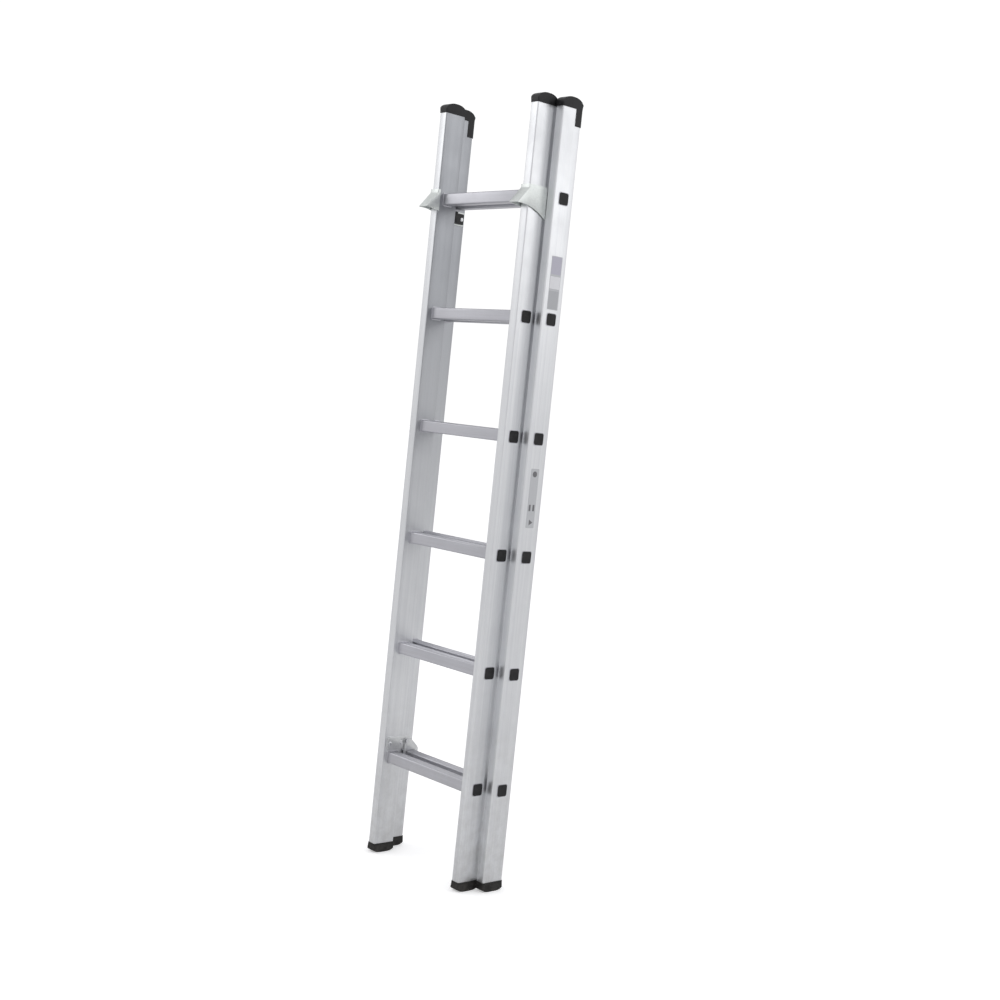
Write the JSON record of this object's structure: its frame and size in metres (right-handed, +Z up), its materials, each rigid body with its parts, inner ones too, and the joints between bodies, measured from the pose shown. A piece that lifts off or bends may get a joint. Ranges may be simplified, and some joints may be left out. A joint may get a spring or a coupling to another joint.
{
  "type": "extension ladder",
  "caption": "Push-up extension ladder with box-section stiles and square rungs; its front section slides up through guide brackets and hooks over the rear section's rungs.",
  "frame": {"origin": "on the floor, midway across and midway through the whole ladder", "axes": "+Z up along the stiles, +X to the user's right, +Y to the wall behind the ladder"},
  "size_m": [0.4092, 0.153, 1.88],
  "materials": {
    "stile_aluminium": "satin mill-finish extrusion",
    "rung_aluminium": "satin mill-finish extrusion with a grooved tread",
    "black_plug": "moulded, fine matt grain",
    "foot_rubber": "moulded, matt",
    "cap_plastic": "moulded, fine matt grain",
    "nylon": "moulded, slightly waxy",
    "label_film": "printed film, satin",
    "zinc_sheet": "zinc-plated sheet, dull",
    "zinc_plate": "zinc-plated plate, dull",
    "fastener_steel": "bright zinc plate",
    "spring_steel": "drawn wire"
  },
  "bodies": {
    "base_section": {"base_stile_left": "stile_aluminium", "base_rung_plugs_left": "black_plug", "base_foot_left": "foot_rubber", "base_cap_left": "cap_plastic", "guide_bracket_left": "zinc_sheet", "guide_rivets_left": "fastener_steel", "guide_slide_block_left": "nylon", "base_stile_right": "stile_aluminium", "base_rung_plugs_right": "black_plug", "base_foot_right": "foot_rubber", "base_cap_right": "cap_plastic", "guide_bracket_right": "zinc_sheet", "guide_rivets_right": "fastener_steel", "guide_slide_block_right": "nylon", "base_rung_1": "rung_aluminium", "base_rung_2": "rung_aluminium", "base_rung_3": "rung_aluminium", "base_rung_4": "rung_aluminium", "base_rung_5": "rung_aluminium", "base_rung_6": "rung_aluminium", "rating_label": "label_film", "guidance_label": "label_film"},
    "fly_section": {"fly_stile_left": "stile_aluminium", "fly_rung_plugs_left": "black_plug", "fly_foot_left": "foot_rubber", "fly_cap_left": "cap_plastic", "hook_plate_left": "zinc_plate", "hook_rivets_left": "fastener_steel", "catch_pin_left": "fastener_steel", "fly_stile_right": "stile_aluminium", "fly_rung_plugs_right": "black_plug", "fly_foot_right": "foot_rubber", "fly_cap_right": "cap_plastic", "hook_plate_right": "zinc_plate", "hook_rivets_right": "fastener_steel", "catch_pin_right": "fastener_steel", "fly_rung_1": "rung_aluminium", "fly_rung_2": "rung_aluminium", "fly_rung_3": "rung_aluminium", "fly_rung_4": "rung_aluminium", "fly_rung_5": "rung_aluminium", "fly_rung_6": "rung_aluminium"},
    "catch_left": {"catch_left": "zinc_plate", "catch_spring_left": "spring_steel"},
    "catch_right": {"catch_right": "zinc_plate", "catch_spring_right": "spring_steel"}
  },
  "joints": [
    {"name": "fly_slide", "type": "slide", "parent": "base_section", "child": "fly_section", "axis": [0, 0, 1], "range_m": [0, 1.12]},
    {"name": "catch_left_pivot", "type": "hinge", "parent": "fly_section", "child": "catch_left", "pos_m": [-0.1454, 0.02548, 0.285], "axis": [1, 0, 0], "range_deg": [-14, 0], "stiffness_Nm_per_rad": 0.05, "springref_deg": 20.05},
    {"name": "catch_right_pivot", "type": "hinge", "parent": "fly_section", "child": "catch_right", "pos_m": [0.1454, 0.02548, 0.285], "axis": [1, 0, 0], "range_deg": [-14, 0], "stiffness_Nm_per_rad": 0.05, "springref_deg": 20.05}
  ]
}
